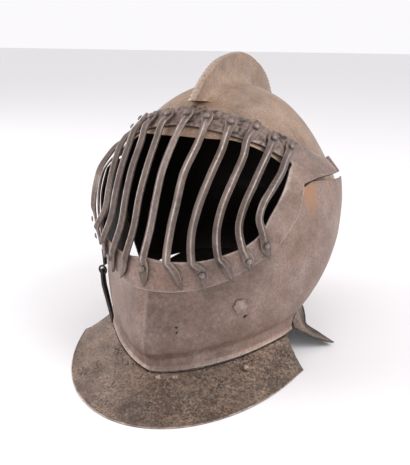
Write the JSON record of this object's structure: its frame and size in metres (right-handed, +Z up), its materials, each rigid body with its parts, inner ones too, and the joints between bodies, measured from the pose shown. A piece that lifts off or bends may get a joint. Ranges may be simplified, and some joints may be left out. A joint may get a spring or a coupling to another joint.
{
  "type": "close helmet with barred face",
  "caption": "Iron close helmet: tall roped comb on a raised skull, forged ridged bars riveted over a wide face window, keeled bevor, flared gorget plates and a side hook.",
  "frame": {"origin": "bottom centre of the bounding box, on the surface the helmet rests on", "axes": "+Z up, -Y the way the face looks, +X the wearer's left"},
  "size_m": [0.256, 0.3568, 0.2723],
  "materials": {
    "brown_iron": "aged brown patina",
    "worn_iron": "worn edges over brown patina",
    "golden_iron": "golden-brown patina",
    "pitted_iron": "deeply pitted brown patina",
    "black_iron": "blackened"
  },
  "bodies": {
    "helmet": {"bar_left_1": "worn_iron", "bar_left_2": "worn_iron", "bar_left_3": "worn_iron", "bar_left_4": "worn_iron", "bar_left_5": "worn_iron", "bar_middle": "worn_iron", "bar_right_1": "worn_iron", "bar_right_2": "worn_iron", "bar_right_3": "worn_iron", "bar_right_4": "worn_iron", "bar_right_5": "worn_iron", "bevor": "brown_iron", "gorget_front": "pitted_iron", "gorget_rear": "pitted_iron", "hook_strap": "brown_iron", "rivet_gorget_1": "pitted_iron", "rivet_gorget_2": "pitted_iron", "rivet_gorget_3": "pitted_iron", "rivet_low_left_2": "worn_iron", "rivet_low_left_4": "worn_iron", "rivet_low_left_5": "worn_iron", "rivet_low_middle": "worn_iron", "rivet_low_right_2": "worn_iron", "rivet_low_right_4": "worn_iron", "rivet_low_right_5": "worn_iron", "rivet_top_left_1": "worn_iron", "rivet_top_left_2": "worn_iron", "rivet_top_left_3": "worn_iron", "rivet_top_left_4": "worn_iron", "rivet_top_left_5": "worn_iron", "rivet_top_middle": "worn_iron", "rivet_top_right_1": "worn_iron", "rivet_top_right_2": "worn_iron", "rivet_top_right_3": "worn_iron", "rivet_top_right_4": "worn_iron", "rivet_top_right_5": "worn_iron", "rosette": "brown_iron", "skull": "golden_iron", "temple_barrel_left": "brown_iron", "temple_barrel_right": "brown_iron", "visor_frame": "brown_iron"},
    "hook": {"hook": "black_iron"}
  },
  "joints": [
    {"name": "hook_swing", "type": "hinge", "parent": "helmet", "child": "hook", "pos_m": [-0.07964, -0.06741, 0.0735], "axis": [0, 1, 0], "range_deg": [0, 85]}
  ]
}
